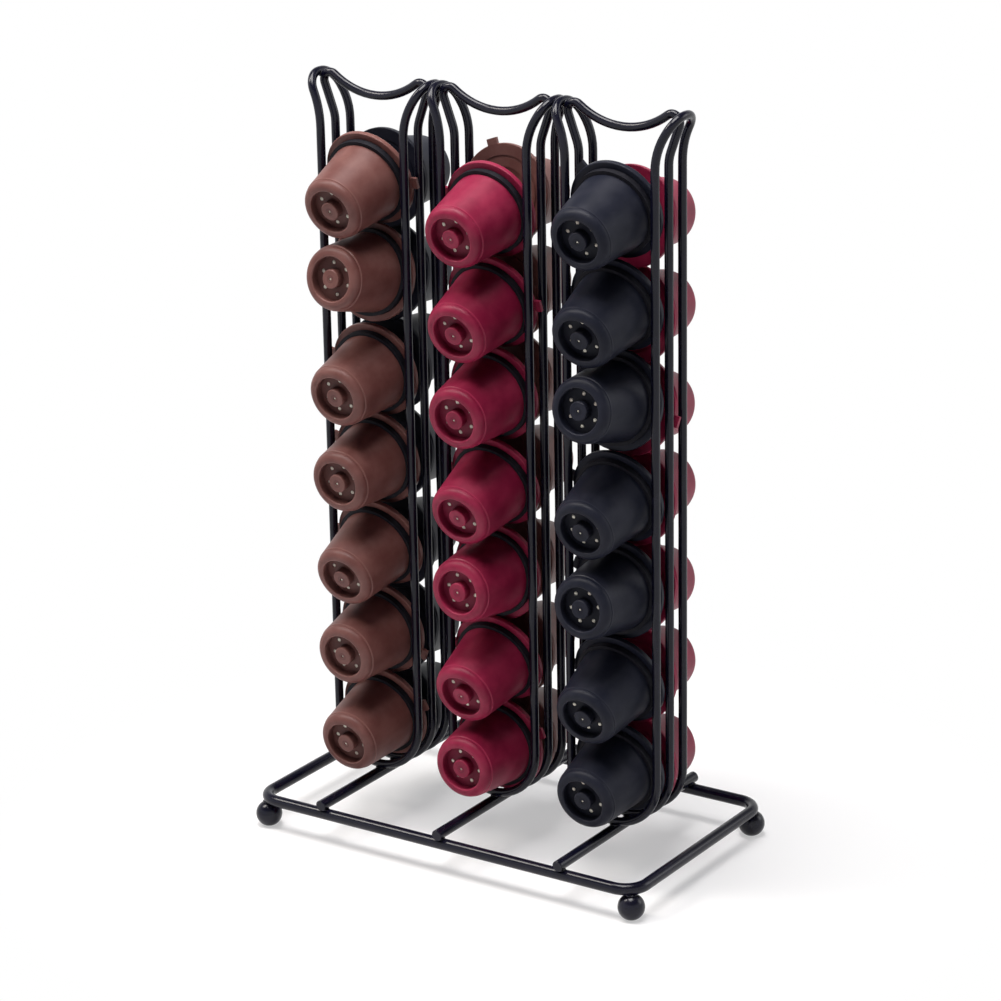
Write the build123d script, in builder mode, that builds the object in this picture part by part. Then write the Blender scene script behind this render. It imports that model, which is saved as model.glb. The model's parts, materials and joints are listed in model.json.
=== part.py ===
"""A black wire tower that holds refillable coffee capsules in three columns, front and back."""

import os
from math import cos, radians, sin, sqrt, tan

from build123d import *

os.makedirs("parts", exist_ok=True)

# All lengths are in millimetres and all angles in degrees.
# X runs along the row of columns, Y from the front to the back, Z up from the floor.

# Joins and cuts
weld_depth = 0.3  # how far two welded wires sink into one another
overrun = 1.0  # how far a cut runs past the face that it opens

# Capsule: a tapered cup, a lid that caps its mouth and a seal ring under the lid
rim_diameter = 37.0
lid_edge_thickness = 2.0
lid_web = 1.0  # thickness of the lid over the mouth
rim_edge_round = 0.4
capsule_gap = 0.1  # between the lid, the cup and the seal
lid_groove_inset = 0.6  # from the cup's mouth to the ring groove in the lid's outer face
lid_groove_width = 0.9
lid_groove_depth = 0.35
lid_ring_width = 4.2  # from that groove's edge to the shallow recess inside it
lid_recess_depth = 0.35
lid_hole_diameter = 1.4
tab_width = 4.2
tab_reach = 2.2
tab_thickness = 1.2
rim_overhang = 2.3  # from the seal to the lid's edge
seal_width = 1.3
seal_thickness = 2.4
cup_depth = 26.0  # from the lid to the end face
cup_wall = 1.2
cup_taper_share = 0.1824  # how much smaller the ridge's radius is than the mouth's
end_band_height = 3.0  # from the ridge to the end face
end_band_step = 0.3
end_band_round_share = 0.22  # as the shares below, of the end band's radius
groove_share = 0.695
hub_share = 0.3
groove_depth = 3.4
groove_floor_thickness = 1.2
hub_edge_round = 0.5
gate_diameter = 1.2
gate_depth = 0.4
pin_hole_count = 6
pin_hole_diameter = 1.6

# Stacks: how far each cup leans down, from the top of the tower to the bottom
stack_clearance = 0.45  # between one capsule and the next
seat_clearance = 0.85  # between the lowest rim's leaning edge and the middle wire
front_droops = {
    "left": (16, -7, 10, 7, 16, 7, 10),
    "middle": (12, 15, 8, 16, 0, 16, 3),
    "right": (13, 16, -6, 14, -1, 16, 10),
}
back_droops = {
    "left": (3, 12, -3, 12, 4, 14, 4),
    "middle": (9, 2, 14, 4, 12, 4, 4),
    "right": (8, 4, 14, 4, 13, 4, 4),
}
# Where each lid's tab stands, turned from straight up towards the right, seen from the cup's end
front_tab_turns = {
    "left": (90, -100, -80, -75, -85, 115, 72),
    "middle": (-78, 88, -90, -85, -110, -85, 68),
    "right": (-40, -85, -90, -75, -70, -85, -100),
}
back_tab_turns = {
    "left": (60, 80, 110, 80, 75, 95, 75),
    "middle": (20, 100, 80, 85, 75, 110, 80),
    "right": (75, 80, -100, 100, 80, 75, 90),
}

# Column wires
column_pitch = 52.8
wire_diameter = 3.2
cup_side_clearance = 2.0  # between a cup's mouth and the leg beside it
rim_play = 0.4
rim_lean_share = 0.1865  # room for a leaning rim, as a share of its radius
mouth_height = 28.5  # from the highest rim's centre to the lowest point of the bridge
arch_rise = 12.0  # from the foot of the flare to the top of the arch
arch_shoulder = 7.0  # from the arch's top to its front bend
flare_bend_radius = 25.0
shoulder_bend_radius = 7.5
hook_radius = 3.0
hook_lean = 20.0
hook_lean_radius = 14.0
bridge_slope = 37.0

# Base
base_end_margin = 30.7  # from the centre of an end column to the end wire
base_depth = 92.0
base_corner_radius = 8.5
base_wire_diameter = 4.4
crossbar_diameter = 4.2
crossbar_overhang = 2.6
crossbar_edge_break = 0.3
foot_diameter = 10.0
foot_flat_depth = 0.25

# Capsule places along its own axis, counted from the middle of the rim towards the cup's end
rim_radius = rim_diameter / 2
lid_back = -lid_edge_thickness / 2
lid_front = lid_edge_thickness / 2
lid_inside = lid_back + lid_web
mouth_place = lid_inside + capsule_gap
seal_back = lid_front + capsule_gap
seal_front = seal_back + seal_thickness
end_face = lid_front + cup_depth
ridge_place = end_face - end_band_height
groove_floor = end_face - groove_depth
floor_inside = groove_floor - groove_floor_thickness

# Capsule radii, from the rim inwards
seal_radius = rim_radius - rim_overhang
mouth_radius = seal_radius - seal_width - capsule_gap
lid_groove_radius = mouth_radius - lid_groove_inset
lid_recess_radius = lid_groove_radius - lid_ring_width
ridge_radius = mouth_radius * (1 - cup_taper_share)
band_radius = ridge_radius - end_band_step
end_band_round = band_radius * end_band_round_share
groove_radius = band_radius * groove_share
hub_radius = band_radius * hub_share
pin_circle_radius = (groove_radius + hub_radius) / 2

# Wire places
wire_radius = wire_diameter / 2
leg_x = mouth_radius + cup_side_clearance + wire_radius
plane_spacing = lid_edge_thickness + rim_play + 2 * rim_lean_share * rim_radius
rim_y = plane_spacing / 2
columns = {"left": -column_pitch, "middle": 0, "right": column_pitch}
base_length = 2 * (column_pitch + base_end_margin)
foot_top = foot_diameter - foot_flat_depth
base_wire_z = foot_top + base_wire_diameter / 2 - weld_depth
crossbar_z = base_wire_z + (base_wire_diameter + crossbar_diameter) / 2 - weld_depth
u_bottom_z = crossbar_z + (crossbar_diameter + wire_diameter) / 2 - weld_depth
u_centre_z = u_bottom_z + leg_x


def side_view(droop, room):
    """Outline of one capsule, grown by some room, seen from its side around the centre of its rim."""
    upper_edge = [
        (lid_back - room, rim_radius + room),
        (lid_front + room, rim_radius + room),
        (lid_front + room, seal_radius + room),
        (seal_front + room, seal_radius + room),
        (seal_front + room, mouth_radius + room),
        (ridge_place, ridge_radius + room),
        (end_face - end_band_round, band_radius + room),
        (end_face + room, band_radius - end_band_round),
    ]
    lower_edge = [(along, -out) for along, out in reversed(upper_edge)]
    lean = radians(droop)
    return [
        (-along * cos(lean) - out * sin(lean), out * cos(lean) - along * sin(lean))
        for along, out in upper_edge + lower_edge
    ]


def crossings(outline, y):
    """Heights at which a closed outline crosses the upright line at y."""
    heights = []
    for (y_a, z_a), (y_b, z_b) in zip(outline, outline[1:] + outline[:1]):
        if y_a != y_b and min(y_a, y_b) <= y <= max(y_a, y_b):
            heights.append(z_a + (z_b - z_a) * (y - y_a) / (y_b - y_a))
    return heights


def stack_step(upper_droop, lower_droop):
    """Height from one rim's centre to the next when the upper capsule lies just clear of the lower."""
    upper = side_view(upper_droop, 0)
    lower = side_view(lower_droop, stack_clearance)
    steps = []
    for y, _ in upper + lower:
        above = crossings(upper, y)
        below = crossings(lower, y)
        if above and below:
            steps.append(max(below) - min(above))
    return max(steps)


def seat_lift(droop):
    """How far the lowest rim rises from the U's centre to keep its leaning edge off the middle wire."""
    leaning_edge = rim_radius * sin(radians(abs(droop))) + lid_edge_thickness / 2
    return max(0, leaning_edge + seat_clearance + wire_radius - rim_y)


def stack_heights(droops):
    """Heights of the rims' centres in one stack, from the top of the tower to the bottom."""
    heights = [u_centre_z + seat_lift(droops[-1])]
    for upper, lower in reversed(list(zip(droops, droops[1:]))):
        heights.insert(0, heights[0] + stack_step(upper, lower))
    return heights


# The lowest point of the bridge stands one mouth height above the highest rim
top_rim_z = max(
    stack_heights(droops)[0]
    for droops in [*front_droops.values(), *back_droops.values()]
)
bridge_z = top_rim_z + mouth_height

# The hook, the arch beside it and the neighbouring arch all meet at the same height
arch_x = (column_pitch - wire_diameter + weld_depth) / 2
hook_reach = hook_radius + wire_diameter - weld_depth
hook_x = arch_x - sqrt(hook_reach**2 - hook_radius**2)
bridge_end_x = hook_x - hook_radius * sin(radians(bridge_slope))
bridge_rise = bridge_end_x * tan(radians(bridge_slope / 2))
hook_z = bridge_z + bridge_rise - hook_radius * cos(radians(bridge_slope))
arch_z = hook_z + hook_radius
flare_z = arch_z - arch_rise

# The straight part of the lean, between the leg's bend and the hook
lean = radians(hook_lean)
hook_start_x = hook_x + hook_radius * cos(lean)
hook_start_z = hook_z - hook_radius * sin(lean)
lean_bend_x = leg_x + hook_lean_radius * (1 - cos(lean))
lean_length = (hook_start_x - lean_bend_x) / sin(lean)
lean_bend_z = hook_start_z - lean_length * cos(lean)
leg_top_z = lean_bend_z - hook_lean_radius * sin(lean)


# Base loop: one wire bent round four corners
with BuildPart() as base_frame:
    with BuildLine(Plane.XY.offset(base_wire_z)) as base_path:
        FilletPolyline(
            (0, -base_depth / 2),
            (base_length / 2, -base_depth / 2),
            (base_length / 2, 0),
            radius=base_corner_radius,
        )
    with BuildSketch(Plane(base_path.line @ 0, z_dir=base_path.line % 0)):
        Circle(base_wire_diameter / 2)
    sweep()
    mirror(about=Plane.YZ)
    mirror(about=Plane.XZ)
base_frame.part.label = "base_frame"
export_step(base_frame.part, "parts/base_frame.step")

# Ball feet under the middles of the four corner bends
foot_inset = base_corner_radius * (1 - cos(radians(45)))
foot_x = base_length / 2 - foot_inset
foot_y = base_depth / 2 - foot_inset
foot_places = {
    "front_left": (-foot_x, -foot_y),
    "front_right": (foot_x, -foot_y),
    "back_left": (-foot_x, foot_y),
    "back_right": (foot_x, foot_y),
}
for corner, (x, y) in foot_places.items():
    with BuildPart() as foot:
        with Locations((x, y, foot_diameter / 2 - foot_flat_depth)):
            Sphere(foot_diameter / 2)
        split(bisect_by=Plane.XY, keep=Keep.TOP)
    foot.part.label = f"foot_{corner}"
    export_step(foot.part, f"parts/foot_{corner}.step")

# Crossbars: one straight rod under each column, laid on the base loop
crossbar_length = base_depth + 2 * crossbar_overhang
for column, x in columns.items():
    with BuildPart() as crossbar:
        with Locations((x, 0, crossbar_z)):
            Cylinder(crossbar_diameter / 2, crossbar_length, rotation=(90, 0, 0))
        chamfer(crossbar.edges().filter_by(GeomType.CIRCLE), crossbar_edge_break)
    crossbar.part.label = f"crossbar_{column}"
    export_step(crossbar.part, f"parts/crossbar_{column}.step")

# Outer wire of one column: a closed loop, a U in front and a U behind, joined by two arches
with BuildPart() as outer_loop:
    with BuildLine() as outer_path:
        u_bend = ThreePointArc(
            (0, -plane_spacing, u_bottom_z),
            (leg_x * sin(radians(45)), -plane_spacing, u_centre_z - leg_x * cos(radians(45))),
            (leg_x, -plane_spacing, u_centre_z),
        )
        FilletPolyline(
            u_bend @ 1,
            (leg_x, -plane_spacing, flare_z),
            (arch_x, -arch_shoulder, arch_z),
            (arch_x, 0, arch_z),
            radius=(flare_bend_radius, shoulder_bend_radius),
        )
    with BuildSketch(Plane(outer_path.line @ 0, z_dir=outer_path.line % 0)):
        Circle(wire_radius)
    sweep()
    mirror(about=Plane.YZ)
    mirror(about=Plane.XZ)

# Middle wire of one column: a closed flat loop whose top hooks over and sags as a bridge
with BuildPart() as middle_loop:
    with BuildLine(Plane.XZ) as middle_path:
        bottom = CenterArc((0, u_centre_z), leg_x, -90, 90)
        leg = Line(bottom @ 1, (leg_x, leg_top_z))
        bend = JernArc(leg @ 1, leg % 1, hook_lean_radius, -hook_lean)
        Line(bend @ 1, (hook_start_x, hook_start_z))
        hook = CenterArc((hook_x, hook_z), hook_radius, -hook_lean, hook_lean + 90 + bridge_slope)
        JernArc(hook @ 1, hook % 1, bridge_end_x / sin(radians(bridge_slope)), -bridge_slope)
    with BuildSketch(Plane(middle_path.line @ 0, z_dir=middle_path.line % 0)):
        Circle(wire_radius)
    sweep()
    mirror(about=Plane.YZ)

for column, x in columns.items():
    with BuildPart() as outer_wire:
        with Locations((x, 0, 0)):
            add(outer_loop.part)
    outer_wire.part.label = f"outer_wire_{column}"
    export_step(outer_wire.part, f"parts/outer_wire_{column}.step")

    with BuildPart() as middle_wire:
        with Locations((x, 0, 0)):
            add(middle_loop.part)
    middle_wire.part.label = f"middle_wire_{column}"
    export_step(middle_wire.part, f"parts/middle_wire_{column}.step")

# Cup of one capsule, with its mouth at the bottom and its end face up
with BuildPart() as cup:
    with BuildSketch(Plane.XZ):
        with BuildLine():
            outside = Polyline(
                (mouth_radius - cup_wall, mouth_place),
                (mouth_radius, mouth_place),
                (mouth_radius, seal_front),
                (ridge_radius, ridge_place),
                (band_radius, ridge_place + end_band_step),
                (band_radius, end_face - end_band_round),
            )
            end_bend = JernArc(outside @ 1, outside % 1, end_band_round, 90)
            Polyline(
                end_bend @ 1,
                (groove_radius, end_face),
                (groove_radius, groove_floor),
                (hub_radius, groove_floor),
                (hub_radius, end_face),
                (0, end_face),
                (0, floor_inside),
                (band_radius - cup_wall, floor_inside),
                (mouth_radius - cup_wall, mouth_place),
            )
        make_face()
    revolve(axis=Axis.Z)
    end_edges = cup.edges().filter_by(GeomType.CIRCLE).group_by(Axis.Z)[-1].sort_by(SortBy.RADIUS)
    fillet(end_edges[0:2], hub_edge_round)
    with Locations((0, 0, end_face)):
        Hole(gate_diameter / 2, gate_depth)
    with BuildSketch(Plane.XY.offset(groove_floor + overrun)):
        with PolarLocations(pin_circle_radius, pin_hole_count):
            Circle(pin_hole_diameter / 2)
    extrude(amount=-groove_floor_thickness - 2 * overrun, mode=Mode.SUBTRACT)

# Seal ring around the cup, under the lid
with BuildPart() as seal:
    with BuildSketch(Plane.XY.offset(seal_back)):
        Circle(seal_radius)
        Circle(mouth_radius + capsule_gap, mode=Mode.SUBTRACT)
    extrude(amount=seal_thickness)

# Lid with its tab, rings and centre hole on the outside and a seat for the cup's mouth inside
with BuildPart() as lid:
    with BuildSketch(Plane.XY.offset(lid_back)):
        Circle(rim_radius)
    extrude(amount=lid_edge_thickness)
    fillet(lid.edges().filter_by(GeomType.CIRCLE), rim_edge_round)
    with BuildSketch(Plane.XY.offset(lid_back)):
        Rectangle(tab_width, rim_radius + tab_reach, align=(Align.CENTER, Align.MIN))
    extrude(amount=tab_thickness)
    with BuildSketch(Plane.XY.offset(lid_inside)):
        Circle(mouth_radius + capsule_gap)
    extrude(amount=lid_edge_thickness, mode=Mode.SUBTRACT)
    with BuildSketch(Plane.XY.offset(lid_back)):
        Circle(lid_groove_radius)
        Circle(lid_groove_radius - lid_groove_width, mode=Mode.SUBTRACT)
    extrude(amount=lid_groove_depth, mode=Mode.SUBTRACT)
    with BuildSketch(Plane.XY.offset(lid_back)):
        Circle(lid_recess_radius)
    extrude(amount=lid_recess_depth, mode=Mode.SUBTRACT)
    with BuildSketch(Plane.XY.offset(lid_back)):
        Circle(lid_hole_diameter / 2)
    extrude(amount=lid_edge_thickness, mode=Mode.SUBTRACT)

# Capsules: cups point out to the front or to the back, lids stand back to back in the middle
sides = {
    "front": (-1, front_droops, front_tab_turns),
    "back": (1, back_droops, back_tab_turns),
}
for side, (facing, droops, tab_turns) in sides.items():
    for column, x in columns.items():
        leans = droops[column]
        rows = zip(stack_heights(leans), leans, tab_turns[column])
        for row, (z, droop, turn) in enumerate(rows, start=1):
            cup_way = Vector(0, facing * cos(radians(droop)), -sin(radians(droop)))
            rim_up = Vector(0, facing * sin(radians(droop)), cos(radians(droop)))
            rim_right = Vector(-facing, 0, 0)
            turned = rim_right * cos(radians(turn)) - rim_up * sin(radians(turn))
            with BuildPart() as capsule:
                with Locations(Plane((x, facing * rim_y, z), x_dir=turned, z_dir=cup_way)):
                    add(cup.part)
                    add(seal.part)
                    add(lid.part)
            capsule.part.label = f"capsule_{side}_{column}_{row}"
            export_step(capsule.part, f"parts/capsule_{side}_{column}_{row}.step")
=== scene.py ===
"""Looks for a black wire tower of refillable coffee capsules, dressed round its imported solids."""

import json
import logging
import math
from dataclasses import dataclass, field
from enum import Enum
from typing import Any

import bmesh
import bpy
import numpy as np
from mathutils import Matrix, Vector, noise


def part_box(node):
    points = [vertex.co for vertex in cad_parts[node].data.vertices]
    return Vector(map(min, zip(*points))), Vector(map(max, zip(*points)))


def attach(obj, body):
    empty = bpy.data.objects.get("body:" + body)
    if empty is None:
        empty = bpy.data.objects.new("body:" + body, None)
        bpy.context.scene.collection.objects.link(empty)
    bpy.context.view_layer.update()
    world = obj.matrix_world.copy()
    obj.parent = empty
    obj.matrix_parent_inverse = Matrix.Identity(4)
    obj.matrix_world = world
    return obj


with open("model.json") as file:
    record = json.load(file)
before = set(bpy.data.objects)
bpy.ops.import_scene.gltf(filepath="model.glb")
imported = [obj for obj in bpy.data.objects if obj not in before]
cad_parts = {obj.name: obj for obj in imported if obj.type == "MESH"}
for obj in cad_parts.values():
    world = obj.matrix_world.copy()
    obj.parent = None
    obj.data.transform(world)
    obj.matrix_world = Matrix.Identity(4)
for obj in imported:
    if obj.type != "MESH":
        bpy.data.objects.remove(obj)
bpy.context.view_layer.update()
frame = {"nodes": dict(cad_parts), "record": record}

log = logging.getLogger("capsule_tower")

Colour = tuple[float, float, float]
Span = tuple[float, float]
Reach = tuple[float, float, float]
Beads = list[tuple[Matrix, Vector]]

MM = 0.001
PLACE = "capsule_place"
WHITE: Colour = (1.0, 1.0, 1.0)
COLUMNS = ("left", "middle", "right")
CORNERS = ("front_left", "front_right", "back_left", "back_right")
ROWS = range(1, 8)

# Places along a capsule's axis, from the rim's centre towards the cup's end, and the rim's radius
END_PLACE = 27.0 * MM
GROOVE_FLOOR = 23.6 * MM
RIM_RADIUS = 18.5 * MM


def rgba(colour: Colour) -> tuple[float, float, float, float]:
    """The colour with full opacity."""
    return (*colour, 1.0)


def read_vectors(items: bpy.types.bpy_prop_collection, name: str) -> np.ndarray:
    """Reads one vector from each of a mesh's items.

    Args:
        items: The mesh's vertices or polygons.
        name: The vector's name on them.

    Returns:
        The vectors, one to a row.
    """
    flat = np.empty(len(items) * 3, np.float32)
    items.foreach_get(name, flat)
    return flat.reshape(-1, 3)


class Sock:
    """One output socket of a node, with the arithmetic that shader expressions use."""

    def __init__(self, graph: "Graph", socket: bpy.types.NodeSocket) -> None:
        """Keeps the socket and the graph that new nodes go into.

        Args:
            graph: The graph that holds the socket's node.
            socket: The output socket to wrap.
        """
        self.graph = graph
        self.socket = socket

    def _math(self, operation: str, *values: "Sock | float") -> "Sock":
        """Adds one Math node.

        Args:
            operation: The Math node's operation.
            values: Its inputs, in order.

        Returns:
            The node's result.
        """
        return self.graph.node("ShaderNodeMath", {"operation": operation}, dict(enumerate(values)))

    def __add__(self, other: "Sock | float") -> "Sock":
        """Self plus other."""
        return self._math("ADD", self, other)

    def __radd__(self, other: float) -> "Sock":
        """Other plus self."""
        return self._math("ADD", other, self)

    def __sub__(self, other: "Sock | float") -> "Sock":
        """Self less other."""
        return self._math("SUBTRACT", self, other)

    def __rsub__(self, other: float) -> "Sock":
        """Other less self."""
        return self._math("SUBTRACT", other, self)

    def __mul__(self, other: "Sock | float") -> "Sock":
        """Self times other."""
        return self._math("MULTIPLY", self, other)

    def __rmul__(self, other: float) -> "Sock":
        """Other times self."""
        return self._math("MULTIPLY", other, self)

    def __abs__(self) -> "Sock":
        """The size of self, without its sign."""
        return self._math("ABSOLUTE", self)

    def __pow__(self, power: float) -> "Sock":
        """Self to a power."""
        return self._math("POWER", self, power)

    def larger(self, other: "Sock | float") -> "Sock":
        """The larger of the two."""
        return self._math("MAXIMUM", self, other)

    def rise(self, low: float, high: float) -> "Sock":
        """A smooth step.

        Args:
            low: The value at and below which the result is 0.
            high: The value at and above which the result is 1.

        Returns:
            The step, from 0 to 1.
        """
        return self.graph.node(
            "ShaderNodeMapRange",
            {"interpolation_type": "SMOOTHSTEP"},
            {"Value": self, "From Min": low, "From Max": high},
        )

    def near(self, place: float, width: float) -> "Sock":
        """A smooth band.

        Args:
            place: The value at which the result is 1.
            width: How far from it the result falls to 0.

        Returns:
            The band, from 0 to 1.
        """
        return 1.0 - abs(self - place).rise(0.0, width)


class Graph:
    """The nodes of one material or of the world."""

    def __init__(self, tree: bpy.types.NodeTree) -> None:
        """Starts an empty graph.

        Args:
            tree: The node tree, whose nodes are cleared.
        """
        self.tree = tree
        tree.nodes.clear()

    def node(
        self,
        kind: str,
        settings: dict[str, Any] | None = None,
        sockets: dict[str | int, Any] | None = None,
        output: str | int = 0,
    ) -> Sock:
        """Adds one node.

        Args:
            kind: The node's type.
            settings: Its own settings, set first.
            sockets: A value or a link for each input named here.
            output: The output to hand back.

        Returns:
            That output, wrapped. A node without outputs gives its first input.
        """
        made = self.tree.nodes.new(kind)
        for name, value in (settings or {}).items():
            setattr(made, name, value)
        for key, value in (sockets or {}).items():
            if isinstance(value, Sock):
                self.tree.links.new(value.socket, made.inputs[key])
            else:
                made.inputs[key].default_value = value
        return Sock(self, made.outputs[output] if made.outputs else made.inputs[0])

    def mix(self, factor: Sock | float, low: Sock | Colour, high: Sock | Colour) -> Sock:
        """Mixes two colours.

        Args:
            factor: The share of the second colour.
            low: The first colour.
            high: The second colour.

        Returns:
            The mixed colour.
        """
        low, high = (c if isinstance(c, Sock) else rgba(c) for c in (low, high))
        return self.node("ShaderNodeMix", {"data_type": "RGBA"}, {0: factor, 6: low, 7: high}, 2)

    def specks(self, place: Sock, scale: float, detail: float = 2.0, rough: float = 0.5) -> Sock:
        """Noise over a place.

        Args:
            place: The point in metres.
            scale: How many features fit in a metre.
            detail: How many finer layers are added.
            rough: How strong the finer layers are.

        Returns:
            The noise, from 0 to 1.
        """
        sockets = {"Vector": place, "Scale": scale, "Detail": detail, "Roughness": rough}
        return self.node("ShaderNodeTexNoise", {}, sockets)

    def bump(self, height: Sock, strength: float, depth: float) -> Sock:
        """Turns a height into a normal.

        Args:
            height: The height, from 0 to 1.
            strength: How much of the bump shows.
            depth: The height's real depth in metres.

        Returns:
            The bumped normal.
        """
        sockets = {"Height": height, "Strength": strength, "Distance": depth}
        return self.node("ShaderNodeBump", {}, sockets)

    def seen(self) -> Sock:
        """Tells what is looked at from what only lights.

        Returns:
            1 for rays from the camera, off gloss or through glass, and 0 for the rest.
        """
        camera = self.node("ShaderNodeLightPath", output="Is Camera Ray")
        outputs = camera.socket.node.outputs
        gloss = Sock(self, outputs["Is Glossy Ray"])
        glass = Sock(self, outputs["Is Transmission Ray"])
        return camera.larger(gloss).larger(glass)


@dataclass(frozen=True)
class Finish:
    """What every finish of the tower has."""

    name: str
    colour: Colour

    def graph(self) -> tuple[bpy.types.Material, Graph]:
        """Starts this finish's material.

        Returns:
            The material and its empty graph.
        """
        material = bpy.data.materials.new(self.name)
        material.use_nodes = True
        material.diffuse_color = rgba(self.colour)
        return material, Graph(material.node_tree)

    @staticmethod
    def close(graph: Graph, sockets: dict[str, Any]) -> None:
        """Ends a material in one shader.

        Args:
            graph: The material's graph.
            sockets: The shader's values and links.
        """
        shader = graph.node("ShaderNodeBsdfPrincipled", {}, sockets)
        graph.node("ShaderNodeOutputMaterial", {}, {"Surface": shader})


@dataclass(frozen=True)
class BlackEnamel(Finish):
    """Glossy black enamel, a little uneven, baked on steel wire."""

    name: str = "black_enamel"
    colour: Colour = (0.0028, 0.0030, 0.0105)
    thin_colour: Colour = (0.0065, 0.0060, 0.0150)
    dust_colour: Colour = (0.050, 0.047, 0.052)
    peel_scale: float = 900.0
    patch_scale: float = 130.0
    speck_scale: float = 2600.0
    thin_patches: Span = (0.40, 0.70)
    dust_slopes: Span = (0.55, 1.0)
    dust_specks: Span = (0.58, 0.74)
    dust_patches: Span = (0.35, 0.65)
    dust_share: float = 0.25
    roughness: float = 0.16
    patch_roughness: float = 0.10
    dust_roughness: float = 0.20
    speck_height: float = 0.25
    bump_strength: float = 0.16
    bump_depth: float = 0.10 * MM
    gloss: float = 0.28

    def build(self) -> bpy.types.Material:
        """Makes the material.

        Returns:
            The material.
        """
        material, g = self.graph()
        place = g.node("ShaderNodeTexCoord", output="Object")
        peel = g.specks(place, self.peel_scale)
        patch = g.specks(place, self.patch_scale, detail=3.0, rough=0.6)
        speck = g.specks(place, self.speck_scale, detail=1.0)
        tone = g.mix(patch.rise(*self.thin_patches), self.colour, self.thin_colour)
        normal = g.node("ShaderNodeNewGeometry", output="Normal")
        up = g.node("ShaderNodeSeparateXYZ", {}, {0: normal}, 2)
        dust = up.rise(*self.dust_slopes) * speck.rise(*self.dust_specks)
        dust = dust * patch.rise(*self.dust_patches)
        height = peel + speck * self.speck_height
        self.close(g, {
            "Base Color": g.mix(dust * self.dust_share, tone, self.dust_colour),
            "Roughness": self.roughness + patch * self.patch_roughness + dust * self.dust_roughness,
            "Normal": g.bump(height, self.bump_strength, self.bump_depth),
            "Specular IOR Level": self.gloss,
        })
        return material


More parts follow.
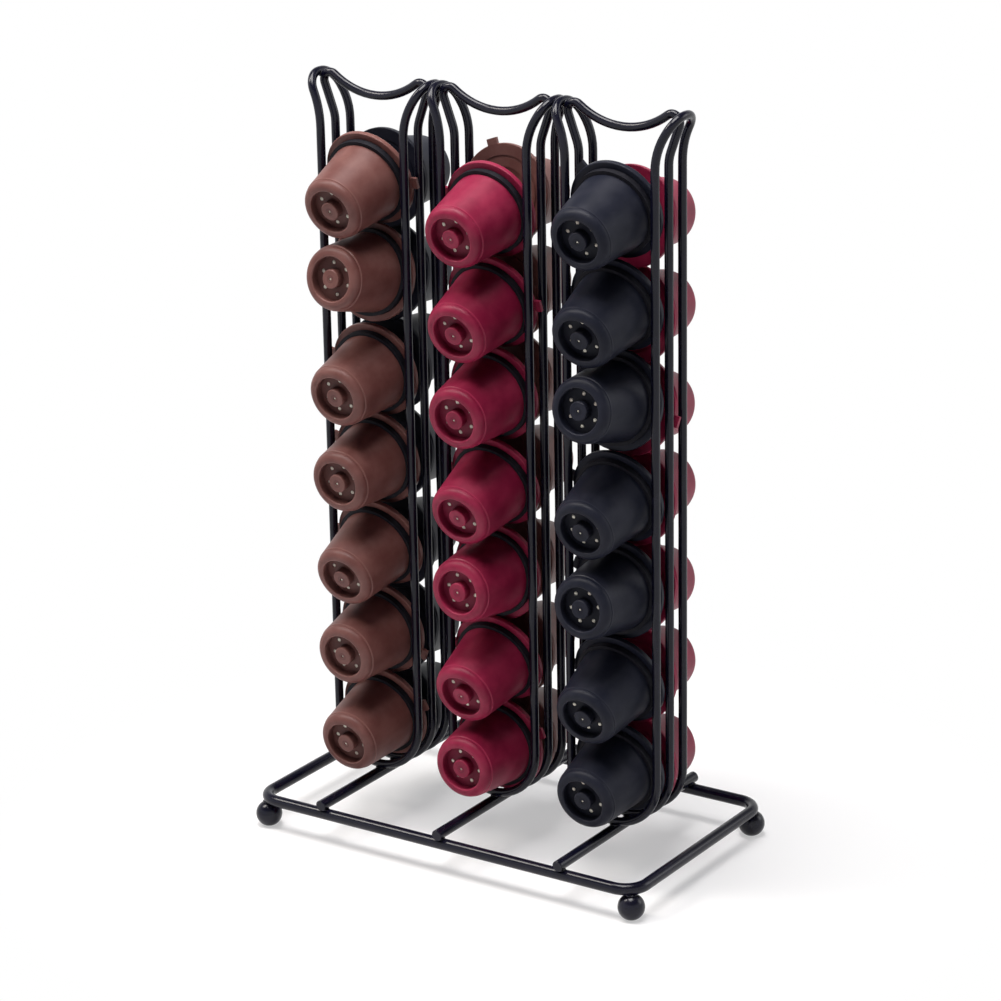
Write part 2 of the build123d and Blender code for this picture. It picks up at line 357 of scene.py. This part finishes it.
@dataclass(frozen=True)
class SatinPlastic(Finish):
    """Satin moulded plastic with a fine grain, flow streaks, glossier edges with a painted
    highlight, and painted shade in its groove.

    Radii are from the capsule's axis. A pair of depths lies below a face, the deeper one first.
    """

    # The first colour below is a lighter tone for the mottling and also the painted highlight on
    # the edges; the second is the painted shade in the groove and the darker ring round the gate.
    pale: Colour
    shade_and_ring_colour: Colour
    sheen: float = 0.25
    # The ridge and the lip here, and the brinks further down, get a painted highlight in the pale
    # colour.
    ridge_radius: float = 12.1 * MM
    ridge_place: float = 24.0 * MM
    ridge_width: float = 0.35 * MM
    ridge_length: float = 0.60 * MM
    lip_width: float = 0.35 * MM
    lip_length: float = 2.0 * MM
    lip_share: float = 0.7
    # The groove gets painted shade, in the second colour above.
    groove_radius: float = 8.2 * MM
    groove_blur: float = 0.3 * MM
    groove_floor_depths: Span = (0.6 * MM, 0.2 * MM)
    groove_mouth_depths: Span = (2.4 * MM, 0.3 * MM)
    groove_shade: float = 0.55
    hub_radius: float = 3.54 * MM
    brink_offset: float = 0.2 * MM
    hub_brink_width: float = 0.35 * MM
    groove_brink_width: float = 0.40 * MM
    brink_depths: Span = (0.8 * MM, 0.3 * MM)
    brink_share: float = 0.8
    gate_ring_radius: float = 1.25 * MM
    gate_ring_width: float = 0.34 * MM
    gate_ring_depths: Span = (0.3 * MM, 0.1 * MM)
    gate_ring_shade: float = 0.75
    # How far the edges' painted highlight goes towards the pale colour.
    edge_highlight_share: float = 0.85
    end_depths: Span = (2.2 * MM, 1.6 * MM)
    grain_scale: float = 3600.0
    cloud_scale: float = 120.0
    ring_scale: float = 5200.0
    streak_scales: Reach = (420.0, 420.0, 14.0)
    cloud_span: Span = (0.30, 0.72)
    cloud_share: float = 0.55
    streak_share: float = 0.25
    grain_height: float = 0.7
    ring_height: float = 0.3
    streak_height: float = 0.25
    roughness: float = 0.40
    cloud_roughness: float = 0.12
    edge_polish: float = 0.14
    groove_roughness: float = 0.08
    bump_strength: float = 0.30
    bump_depth: float = 0.06 * MM

    @staticmethod
    def _towards(along: Sock, face: float, depths: Span) -> Sock:
        """A smooth step towards a face, between two depths below it."""
        return along.rise(face - depths[0], face - depths[1])

    def _shades(self, radius: Sock, along: Sock) -> tuple[Sock, Sock]:
        """Marks the groove round the hub, which gets painted shade, and the ring round the gate.

        Args:
            radius: The distance from the capsule's axis.
            along: The place along the axis.

        Returns:
            The two masks, from 0 to 1.
        """
        inside = 1.0 - radius.rise(self.groove_radius, self.groove_radius + self.groove_blur)
        over_floor = self._towards(along, GROOVE_FLOOR, self.groove_floor_depths)
        under_mouth = 1.0 - self._towards(along, END_PLACE, self.groove_mouth_depths)
        ring = radius.near(self.gate_ring_radius, self.gate_ring_width)
        on_end = self._towards(along, END_PLACE, self.gate_ring_depths)
        return inside * over_floor * under_mouth, ring * on_end

    def _highlight_edges(self, radius: Sock, along: Sock) -> Sock:
        """Marks the edges that are made glossier and get a painted highlight.

        Args:
            radius: The distance from the capsule's axis.
            along: The place along the axis.

        Returns:
            The mask of the cup's ridge, the rim's lip and the brinks of the groove, from 0 to 1.
        """
        ridge = radius.near(self.ridge_radius, self.ridge_width)
        ridge = ridge * along.near(self.ridge_place, self.ridge_length)
        lip = radius.rise(RIM_RADIUS - self.lip_width, RIM_RADIUS)
        lip = lip * (1.0 - along.rise(0.0, self.lip_length))
        hub = radius.near(self.hub_radius - self.brink_offset, self.hub_brink_width)
        wall = radius.near(self.groove_radius + self.brink_offset, self.groove_brink_width)
        brink = hub.larger(wall) * self._towards(along, END_PLACE, self.brink_depths)
        return ridge.larger(lip * self.lip_share).larger(brink * self.brink_share)

    def build(self) -> bpy.types.Material:
        """Makes the material.

        Returns:
            The material.
        """
        material, g = self.graph()
        rest = g.node("ShaderNodeTexCoord", output="Object")
        place = g.node("ShaderNodeAttribute", {"attribute_name": PLACE}, {}, "Vector")
        axes = g.node("ShaderNodeSeparateXYZ", {}, {0: place})
        x, y, along = (Sock(g, s) for s in axes.socket.node.outputs)
        radius = (x * x + y * y) ** 0.5
        cloud = g.specks(rest, self.cloud_scale, detail=3.0, rough=0.55)
        grain = g.specks(rest, self.grain_scale, rough=0.6)
        stretch = {0: place, 1: self.streak_scales}
        streak = g.specks(g.node("ShaderNodeVectorMath", {"operation": "MULTIPLY"}, stretch), 1.0)
        rings = g.node(
            "ShaderNodeTexNoise",
            {"noise_dimensions": "1D"},
            {"W": radius, "Scale": self.ring_scale, "Detail": 1.0},
        )
        paler = cloud.rise(*self.cloud_span) * self.cloud_share + streak * self.streak_share
        groove, gate_ring = self._shades(radius, along)
        # Painted shade in the groove, and a darker ring round the gate.
        shade = (groove * self.groove_shade).larger(gate_ring * self.gate_ring_shade)
        edge = self._highlight_edges(radius, along)
        tone = g.mix(paler, self.colour, self.pale)
        tone = g.mix(shade, tone, self.shade_and_ring_colour)
        # Painted highlight on the ridge, the lip and the groove's brinks.
        tone = g.mix(edge * self.edge_highlight_share, tone, self.pale)
        turned = rings * self._towards(along, END_PLACE, self.end_depths)
        height = grain * self.grain_height + turned * self.ring_height + streak * self.streak_height
        dull = self.roughness + cloud * self.cloud_roughness - edge * self.edge_polish
        self.close(g, {
            "Base Color": tone,
            "Roughness": dull + groove * self.groove_roughness,
            "Normal": g.bump(height, self.bump_strength, self.bump_depth),
            "Specular IOR Level": self.sheen,
        })
        return material


@dataclass(frozen=True)
class SealRubber(Finish):
    """Dull black rubber with a soft bloom."""

    name: str = "seal_rubber"
    colour: Colour = (0.0042, 0.0042, 0.0080)
    bloom: Colour = (0.0120, 0.0115, 0.0165)
    bloom_span: Span = (0.35, 0.75)
    bloom_share: float = 0.7
    cloud_scale: float = 420.0
    grain_scale: float = 5200.0
    roughness: float = 0.52
    grain_roughness: float = 0.16
    bump_strength: float = 0.25
    bump_depth: float = 0.05 * MM
    gloss: float = 0.18

    def build(self) -> bpy.types.Material:
        """Makes the material.

        Returns:
            The material.
        """
        material, g = self.graph()
        rest = g.node("ShaderNodeTexCoord", output="Object")
        cloud = g.specks(rest, self.cloud_scale, detail=3.0, rough=0.6)
        grain = g.specks(rest, self.grain_scale, detail=1.0)
        bloomed = cloud.rise(*self.bloom_span) * self.bloom_share
        self.close(g, {
            "Base Color": g.mix(bloomed, self.colour, self.bloom),
            "Roughness": self.roughness + grain * self.grain_roughness,
            "Normal": g.bump(grain, self.bump_strength, self.bump_depth),
            "Specular IOR Level": self.gloss,
        })
        return material


@dataclass(frozen=True)
class PalePin(Finish):
    """Pale brushed metal of the strainer that shows in the pin holes, which also makes the pale nub
    in the hub's gate a painted highlight.
    """

    name: str = "strainer_metal_and_gate_highlight"
    colour: Colour = (0.72, 0.70, 0.60)
    stain: Colour = (0.56, 0.50, 0.43)
    stain_span: Span = (0.42, 0.66)
    stain_scale: float = 260.0
    brush_scale: float = 9000.0
    roughness: float = 0.34
    brush_roughness: float = 0.14
    metal_share: float = 0.25
    bump_strength: float = 0.2
    bump_depth: float = 0.04 * MM

    def build(self) -> bpy.types.Material:
        """Makes the material.

        Returns:
            The material.
        """
        material, g = self.graph()
        rest = g.node("ShaderNodeTexCoord", output="Object")
        cloud = g.specks(rest, self.stain_scale)
        brushed = g.specks(rest, self.brush_scale, detail=1.0)
        self.close(g, {
            "Base Color": g.mix(cloud.rise(*self.stain_span), self.colour, self.stain),
            "Roughness": self.roughness + brushed * self.brush_roughness,
            "Metallic": self.metal_share,
            "Normal": g.bump(brushed, self.bump_strength, self.bump_depth),
        })
        return material


class CapsuleColour(Enum):
    """The three colours that the capsules come in."""

    BROWN = SatinPlastic(
        name="brown_plastic",
        colour=(0.110, 0.038, 0.033),
        pale=(0.190, 0.085, 0.074),
        shade_and_ring_colour=(0.062, 0.023, 0.021),
    )
    RED = SatinPlastic(
        name="red_plastic",
        colour=(0.168, 0.0022, 0.027),
        pale=(0.300, 0.022, 0.062),
        shade_and_ring_colour=(0.090, 0.003, 0.018),
        sheen=0.22,
    )
    BLACK = SatinPlastic(
        name="black_plastic",
        colour=(0.0050, 0.0064, 0.0145),
        pale=(0.0180, 0.0190, 0.0295),
        shade_and_ring_colour=(0.0030, 0.0035, 0.0070),
        sheen=0.14,
    )


STACK_COLOURS: dict[tuple[str, str], CapsuleColour] = {
    ("front", "left"): CapsuleColour.BROWN,
    ("front", "middle"): CapsuleColour.RED,
    ("front", "right"): CapsuleColour.BLACK,
    ("back", "left"): CapsuleColour.BLACK,
    ("back", "middle"): CapsuleColour.BROWN,
    ("back", "right"): CapsuleColour.RED,
}


@dataclass
class Palette:
    """Every finish of the tower, made once."""

    enamel: bpy.types.Material = field(default_factory=lambda: BlackEnamel().build())
    rubber: bpy.types.Material = field(default_factory=lambda: SealRubber().build())
    pin: bpy.types.Material = field(default_factory=lambda: PalePin().build())
    plastics: dict[CapsuleColour, bpy.types.Material] = field(
        default_factory=lambda: {c: c.value.build() for c in CapsuleColour}
    )


def new_piece(
    name: str, mesh: bmesh.types.BMesh, finish: bpy.types.Material, body: str
) -> bpy.types.Object:
    """Turns a mesh under construction into a smooth piece that rides on a body.

    Args:
        name: The piece's name.
        mesh: The mesh, which is freed.
        finish: Its material.
        body: The body that carries it.

    Returns:
        The piece.
    """
    bmesh.ops.recalc_face_normals(mesh, faces=mesh.faces)
    data = bpy.data.meshes.new(name)
    mesh.to_mesh(data)
    mesh.free()
    data.polygons.foreach_set("use_smooth", np.ones(len(data.polygons), bool))
    data.materials.append(finish)
    piece = bpy.data.objects.new(name, data)
    bpy.context.scene.collection.objects.link(piece)
    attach(piece, body)
    log.info("piece %s: %d faces, rides on %s", name, len(data.polygons), body)
    return piece


def add_turned(
    mesh: bmesh.types.BMesh, profile: list[tuple[float, float]], seat: Matrix, segments: int
) -> None:
    """Adds a closed turned form to a mesh.

    Args:
        mesh: The mesh to add to.
        profile: Its (radius, height) points, from one end of the axis to the other.
        seat: Where its axis stands.
        segments: How many sides a turn has.
    """
    rings: list[list[bmesh.types.BMVert]] = []
    for radius, height in profile:
        count = segments if radius > 0 else 1
        turns = [k * math.tau / count for k in range(count)]
        rings.append([
            mesh.verts.new(seat @ Vector((radius * math.cos(q), radius * math.sin(q), height)))
            for q in turns
        ])
    for lower, upper in zip(rings, rings[1:]):
        for k in range(segments):
            corners = [
                lower[k % len(lower)],
                lower[(k + 1) % len(lower)],
                upper[(k + 1) % len(upper)],
                upper[k % len(upper)],
            ]
            mesh.faces.new(list(dict.fromkeys(corners)))


@dataclass
class Capsule:
    """One refillable capsule: its solids' finishes, the strainer dots in its end, and the pale nub
    in its gate, a painted highlight.
    """

    side: str
    column: str
    row: int
    pin_circle: float = 5.87 * MM
    pin_count: int = 6
    pin_radius: float = 0.76 * MM
    pin_dome: float = 0.30 * MM
    pin_depth: float = 0.10 * MM
    # The nub in the hub's gate, pale as a painted highlight.
    gate_floor: float = 26.6 * MM
    gate_radius: float = 0.46 * MM
    gate_dome: float = 0.32 * MM
    dot_segments: int = 18
    seal_span: Span = (1.05 * MM, 3.55 * MM)
    seal_radii: Span = (14.86 * MM, 16.25 * MM)
    end_tolerance: float = 0.01 * MM
    tab_clearance: float = 0.3 * MM
    normal_digits: int = 3

    @property
    def name(self) -> str:
        """The capsule's node, which is also its body."""
        return f"capsule_{self.side}_{self.column}_{self.row}"

    @property
    def colour(self) -> CapsuleColour:
        """The colour of the capsule's stack."""
        return STACK_COLOURS[self.side, self.column]

    def _axis(self, mesh: bpy.types.Mesh) -> np.ndarray:
        """Finds the way that the capsule's flat faces look.

        Args:
            mesh: The capsule's mesh.

        Returns:
            The unit axis, from the lid to the cup's end.
        """
        normals = read_vectors(mesh.polygons, "normal").astype(float)
        areas = np.empty(len(mesh.polygons), np.float32)
        mesh.polygons.foreach_get("area", areas)
        facing = -1.0 if self.side == "front" else 1.0
        normals *= np.where(normals[:, 1] * facing < 0, -1.0, 1.0)[:, None]
        rounded = np.round(normals, self.normal_digits)
        bins, which = np.unique(rounded, axis=0, return_inverse=True)
        which = which.ravel()
        flat = which == np.argmax(np.bincount(which, areas, len(bins)))
        axis = np.average(normals[flat], axis=0, weights=areas[flat])
        return axis / np.linalg.norm(axis)

    def seat(self) -> Matrix:
        """Finds where the capsule stands, from its own flat faces.

        Returns:
            The frame at the rim's centre, Z along the cup to its end and Y towards the lid's tab.
        """
        mesh = frame["nodes"][self.name].data
        points = read_vectors(mesh.vertices, "co").astype(float)
        axis = self._axis(mesh)
        along = points @ axis
        side_way = np.cross(axis, (1.0, 0.0, 0.0))
        side_way /= np.linalg.norm(side_way)
        over_way = np.cross(side_way, axis)
        end = points[along > along.max() - self.end_tolerance]
        centre = sum(w * ((end @ w).max() + (end @ w).min()) / 2 for w in (side_way, over_way))
        centre = centre + axis * (along.max() - END_PLACE)
        out = (points - centre) - np.outer((points - centre) @ axis, axis)
        tab = out[np.linalg.norm(out, axis=1) > RIM_RADIUS + self.tab_clearance].mean(axis=0)
        tab /= np.linalg.norm(tab)
        seat = np.eye(4)
        seat[:3, :3] = np.stack([np.cross(tab, axis), tab, axis], axis=1)
        seat[:3, 3] = centre
        return Matrix(seat.tolist())

    def dress(self, palette: Palette, seat: Matrix) -> None:
        """Gives the lid and cup their plastic and the seal its rubber.

        Args:
            palette: The tower's finishes.
            seat: Where the capsule stands.
        """
        mesh = frame["nodes"][self.name].data
        mesh.materials.clear()
        mesh.materials.append(palette.plastics[self.colour])
        mesh.materials.append(palette.rubber)
        turn = np.array(seat.to_3x3())
        origin = np.array(seat.translation)
        local = (read_vectors(mesh.vertices, "co") - origin) @ turn
        place = mesh.attributes.new(PLACE, "FLOAT_VECTOR", "POINT")
        place.data.foreach_set("vector", local.astype(np.float32).ravel())
        centres = (read_vectors(mesh.polygons, "center") - origin) @ turn
        radius = np.hypot(centres[:, 0], centres[:, 1])
        seal = (
            (centres[:, 2] > self.seal_span[0])
            & (centres[:, 2] < self.seal_span[1])
            & (radius > self.seal_radii[0])
            & (radius < self.seal_radii[1])
        )
        mesh.polygons.foreach_set("material_index", seal.astype(np.int32))
        mesh.update()
        shade = self.colour.name.lower()
        log.info("capsule %s: %s, %d seal faces", self.name, shade, int(seal.sum()))

    def build_dots(self, palette: Palette, seat: Matrix) -> bpy.types.Object:
        """Makes the pale dots in the pin holes and the nub in the hub's gate, whose paleness is a
        painted highlight.

        Args:
            palette: The tower's finishes.
            seat: Where the capsule stands.

        Returns:
            The piece, which rides on the capsule.
        """
        mesh = bmesh.new()
        top = GROOVE_FLOOR - self.pin_depth
        for k in range(self.pin_count):
            turn = k * math.tau / self.pin_count
            spot = (self.pin_circle * math.cos(turn), self.pin_circle * math.sin(turn), top)
            self._add_dot(mesh, seat @ Matrix.Translation(spot), self.pin_radius, self.pin_dome)
        # The gate's nub, in the pale metal, is a painted highlight.
        gate = Matrix.Translation((0, 0, self.gate_floor))
        self._add_dot(mesh, seat @ gate, self.gate_radius, self.gate_dome)
        return new_piece(self.name.replace("capsule", "dots"), mesh, palette.pin, self.name)

    def _add_dot(
        self, mesh: bmesh.types.BMesh, seat: Matrix, radius: float, dome: float
    ) -> None:
        """Adds one domed dot with a rounded edge.

        Args:
            mesh: The mesh to add to.
            seat: Where the dot's upper edge stands.
            radius: The dot's radius.
            dome: How high it domes.
        """
        profile = [
            (0.0, -2 * dome),
            (0.86 * radius, -2 * dome),
            (radius, -1.6 * dome),
            (radius, -0.5 * dome),
        ]
        for degrees in (22.5, 45, 67.5):
            q = math.radians(degrees)
            profile.append((radius * math.cos(q), dome * (1.5 * math.sin(q) - 0.5)))
        add_turned(mesh, [*profile, (0.0, dome)], seat, self.dot_segments)


@dataclass
class WireRack:
    """The base loop, crossbars, column wires and feet, with the beads of their welds."""

    body: str = "rack"
    wire_radius: float = 1.6 * MM
    base_wire_radius: float = 2.2 * MM
    plane_spacing: float = 9.3 * MM
    hook_radius: float = 3.0 * MM
    hook_reach: float = 5.9 * MM
    weld_depth: float = 0.3 * MM
    crossbar_bead: Reach = (1.9, 1.9, 0.62)
    foot_bead: Reach = (2.3, 2.3, 0.55)
    column_bead: Reach = (1.7, 1.7, 0.6)
    arch_bead: Reach = (0.6, 3.0, 1.5)
    hook_bead: Reach = (1.5, 1.5, 0.6)
    bead_unevenness: float = 0.16
    bead_lumps: float = 1.7

    def dress(self, palette: Palette) -> None:
        """Gives every wire, rod and foot its enamel.

        Args:
            palette: The tower's finishes.
        """
        for name in frame["record"]["behaviour"]["bodies"][self.body]:
            mesh = frame["nodes"][name].data
            mesh.materials.clear()
            mesh.materials.append(palette.enamel)
            log.info("wire %s: enamel", name)

    def build_welds(self, palette: Palette) -> list[bpy.types.Object]:
        """Makes the weld beads.

        Args:
            palette: The tower's finishes.

        Returns:
            One piece for the base's beads, one for the columns' feet and one for the tops.
        """
        made = []
        for name, beads in (
            ("weld_beads_base", self._base_beads()),
            ("weld_beads_columns", self._column_beads()),
            ("weld_beads_tops", self._top_beads()),
        ):
            mesh = bmesh.new()
            for seat, reach in beads:
                self._add_bead(mesh, seat, reach)
            made.append(new_piece(name, mesh, palette.enamel, self.body))
        return made

    def _base_beads(self) -> Beads:
        """Beads between the base loop and the crossbars and feet.

        Returns:
            Where each bead stands and how far it reaches along its own axes.
        """
        low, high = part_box("base_frame")
        beads = []
        for column in COLUMNS:
            bar_low, bar_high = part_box(f"crossbar_{column}")
            x = (bar_low.x + bar_high.x) / 2
            for y in (low.y + self.base_wire_radius, high.y - self.base_wire_radius):
                spot = Vector((x, y, bar_low.z + self.weld_depth / 2))
                beads.append((Matrix.Translation(spot), Vector(self.crossbar_bead) * MM))
        for corner in CORNERS:
            foot_low, foot_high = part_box(f"foot_{corner}")
            spot = (foot_low + foot_high) / 2
            spot.z = foot_high.z - self.weld_depth / 2
            beads.append((Matrix.Translation(spot), Vector(self.foot_bead) * MM))
        return beads

    def _column_beads(self) -> Beads:
        """Beads where the columns' wires stand on the crossbars.

        Returns:
            Where each bead stands and how far it reaches along its own axes.
        """
        beads = []
        for column in COLUMNS:
            low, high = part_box(f"middle_wire_{column}")
            x = (low.x + high.x) / 2
            for y in (-self.plane_spacing, 0.0, self.plane_spacing):
                spot = Vector((x, y, low.z + self.weld_depth / 2))
                beads.append((Matrix.Translation(spot), Vector(self.column_bead) * MM))
        return beads

    def _top_beads(self) -> Beads:
        """Beads where neighbouring arches meet and where hooks meet the arches.

        Returns:
            Where each bead stands and how far it reaches along its own axes.
        """
        beads = []
        boxes = [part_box(f"outer_wire_{column}") for column in COLUMNS]
        for (_, left_high), (right_low, _) in zip(boxes, boxes[1:]):
            x = (left_high.x + right_low.x) / 2
            spot = Vector((x, 0.0, left_high.z - self.wire_radius))
            beads.append((Matrix.Translation(spot), Vector(self.arch_bead) * MM))
        rise = self.hook_radius / self.hook_reach
        run = math.sqrt(1.0 - rise * rise)
        for low, high in boxes:
            for side, edge in ((-1.0, low.x), (1.0, high.x)):
                arch = Vector((edge - side * self.wire_radius, 0.0, high.z - self.wire_radius))
                way = Vector((side * run, 0.0, rise))
                spot = arch - way * (self.wire_radius - self.weld_depth / 2)
                turn = way.to_track_quat("Z", "Y").to_matrix().to_4x4()
                beads.append((Matrix.Translation(spot) @ turn, Vector(self.hook_bead) * MM))
        return beads

    def _add_bead(self, mesh: bmesh.types.BMesh, seat: Matrix, reach: Vector) -> None:
        """Adds one flattened, slightly uneven bead.

        Args:
            mesh: The mesh to add to.
            seat: The bead's middle, Z across the joint.
            reach: How far it reaches along its own axes.
        """
        offset = seat.translation / MM
        for vert in bmesh.ops.create_icosphere(mesh, subdivisions=3, radius=1.0)["verts"]:
            lump = noise.noise(vert.co * self.bead_lumps + offset)
            uneven = 1.0 + self.bead_unevenness * lump
            vert.co = seat @ (vert.co * reach * uneven)


@dataclass(frozen=True)
class WhiteFloor(Finish):
    """A pale floor that keeps the tower's shadow and is white where nothing shades it."""

    name: str = "white_floor"
    colour: Colour = (0.93, 0.925, 0.93)
    glow_share: float = 0.43
    shaded_reach: float = 0.075
    white_reach: float = 0.20

    def build(self) -> bpy.types.Material:
        """Makes the material.

        Returns:
            The material.
        """
        material, g = self.graph()
        place = g.node("ShaderNodeTexCoord", output="Object")
        away = g.node("ShaderNodeVectorMath", {"operation": "LENGTH"}, {0: place}, "Value")
        far = away.rise(self.shaded_reach, self.white_reach)
        share = self.glow_share + far * (1.0 - self.glow_share)
        matt = g.node("ShaderNodeBsdfDiffuse", {}, {"Color": rgba(self.colour)})
        glow = g.node("ShaderNodeEmission", {}, {"Color": rgba(WHITE), "Strength": 1.0})
        mixed = g.node("ShaderNodeMixShader", {}, {0: g.seen() * share, 1: matt, 2: glow})
        g.node("ShaderNodeOutputMaterial", {}, {"Surface": mixed})
        return material


@dataclass
class SoftBox:
    """One soft studio lamp, aimed at the tower's middle."""

    name: str
    place: Vector
    width: float
    height: float
    power: float
    colour: Colour = WHITE
    aim: Vector = field(default_factory=lambda: Vector((0.0, 0.0, 0.14)))

    def build(self) -> bpy.types.Object:
        """Makes the lamp.

        Returns:
            The lamp, facing its aim.
        """
        lamp = bpy.data.lights.new(self.name, "AREA")
        lamp.shape = "RECTANGLE"
        lamp.size = self.width
        lamp.size_y = self.height
        lamp.energy = self.power
        lamp.color = self.colour
        made = bpy.data.objects.new(self.name, lamp)
        made.location = self.place
        made.rotation_mode = "QUATERNION"
        made.rotation_quaternion = (self.aim - self.place).to_track_quat("-Z", "Y")
        bpy.context.scene.collection.objects.link(made)
        log.info("lamp %s: %.1f W", self.name, self.power)
        return made


@dataclass
class Studio:
    """The floor, the lamps, the pale surroundings and the camera."""

    eye: Vector = field(default_factory=lambda: Vector((697.342, -1047.259, 555.415)) * MM)
    yaw: float = math.radians(33.708)
    pitch: float = math.radians(18.603)
    roll: float = math.radians(-1.009)
    lens: float = 129.504
    sensor: float = 36.0
    clip: Span = (0.01, 50.0)
    floor_half: float = 6.0
    ambient: float = 0.095
    fill_colour: Colour = (0.84, 0.82, 1.0)
    ceiling: float = 0.12
    ceiling_rise: Span = (0.35, 0.70)

    def build_floor(self) -> bpy.types.Object:
        """Makes the floor that the tower stands on.

        Returns:
            The floor.
        """
        h = self.floor_half
        data = bpy.data.meshes.new("floor")
        data.from_pydata([(-h, -h, 0), (h, -h, 0), (h, h, 0), (-h, h, 0)], [], [(0, 1, 2, 3)])
        data.materials.append(WhiteFloor().build())
        floor = bpy.data.objects.new("floor", data)
        bpy.context.scene.collection.objects.link(floor)
        return floor

    def build_lamps(self) -> None:
        """Makes the lamps: a broad one overhead, a small warm one at the left, one behind."""
        overhead, upper_left = Vector((-0.05, -0.13, 1.30)), Vector((-0.72, -0.40, 1.12))
        right_back = Vector((1.1, 1.0, 0.8))
        for box in (
            SoftBox("overhead", overhead, 0.8, 0.6, 20.5, (1.0, 0.98, 0.97)),
            SoftBox("upper_left", upper_left, 0.32, 0.46, 9.0, (1.0, 0.95, 0.89)),
            SoftBox("right_back", right_back, 0.7, 0.8, 4.0),
        ):
            box.build()

    def build_world(self) -> None:
        """Makes the surroundings.

        What is seen of them, or shows in gloss, is a white sweep under a darker ceiling. What they
        light with is a weaker, cooler fill.
        """
        world = bpy.data.worlds.new("studio")
        bpy.context.scene.world = world
        world.use_nodes = True
        g = Graph(world.node_tree)
        way = g.node("ShaderNodeTexCoord", output="Generated")
        up = g.node("ShaderNodeSeparateXYZ", {}, {0: way}, 2)
        fill, sweep, ceiling = (
            g.node("ShaderNodeBackground", {}, {"Color": rgba(colour), "Strength": strength})
            for colour, strength in (
                (self.fill_colour, self.ambient),
                (WHITE, 1.0),
                (WHITE, self.ceiling),
            )
        )
        above = up.rise(*self.ceiling_rise)
        shown = g.node("ShaderNodeMixShader", {}, {0: above, 1: sweep, 2: ceiling})
        mixed = g.node("ShaderNodeMixShader", {}, {0: g.seen(), 1: fill, 2: shown})
        g.node("ShaderNodeOutputWorld", {}, {"Surface": mixed})

    def build_camera(self) -> bpy.types.Object:
        """Makes the camera at the photograph's viewpoint.

        Returns:
            The camera, set as the scene's own.
        """
        forward = Vector((
            -math.sin(self.yaw) * math.cos(self.pitch),
            math.cos(self.yaw) * math.cos(self.pitch),
            -math.sin(self.pitch),
        ))
        level = Vector((math.cos(self.yaw), math.sin(self.yaw), 0.0))
        upright = level.cross(forward)
        right = math.cos(self.roll) * level + math.sin(self.roll) * upright
        up = math.cos(self.roll) * upright - math.sin(self.roll) * level
        data = bpy.data.cameras.new("camera")
        data.lens = self.lens
        data.sensor_width = self.sensor
        data.clip_start, data.clip_end = self.clip
        camera = bpy.data.objects.new("camera", data)
        turn = Matrix((right, up, -forward)).transposed().to_4x4()
        camera.matrix_world = Matrix.Translation(self.eye) @ turn
        bpy.context.scene.collection.objects.link(camera)
        bpy.context.scene.camera = camera
        return camera


def main() -> None:
    """Dresses the tower and sets the studio round it."""
    logging.basicConfig(level=logging.INFO, format="%(message)s")
    bpy.context.scene.view_settings.view_transform = "Standard"
    palette = Palette()
    studio = Studio()
    studio.build_camera()
    studio.build_floor()
    studio.build_lamps()
    studio.build_world()
    rack = WireRack()
    rack.dress(palette)
    rack.build_welds(palette)
    for side, column in STACK_COLOURS:
        for row in ROWS:
            capsule = Capsule(side, column, row)
            seat = capsule.seat()
            capsule.dress(palette, seat)
            capsule.build_dots(palette, seat)


if __name__ == "__main__":
    main()
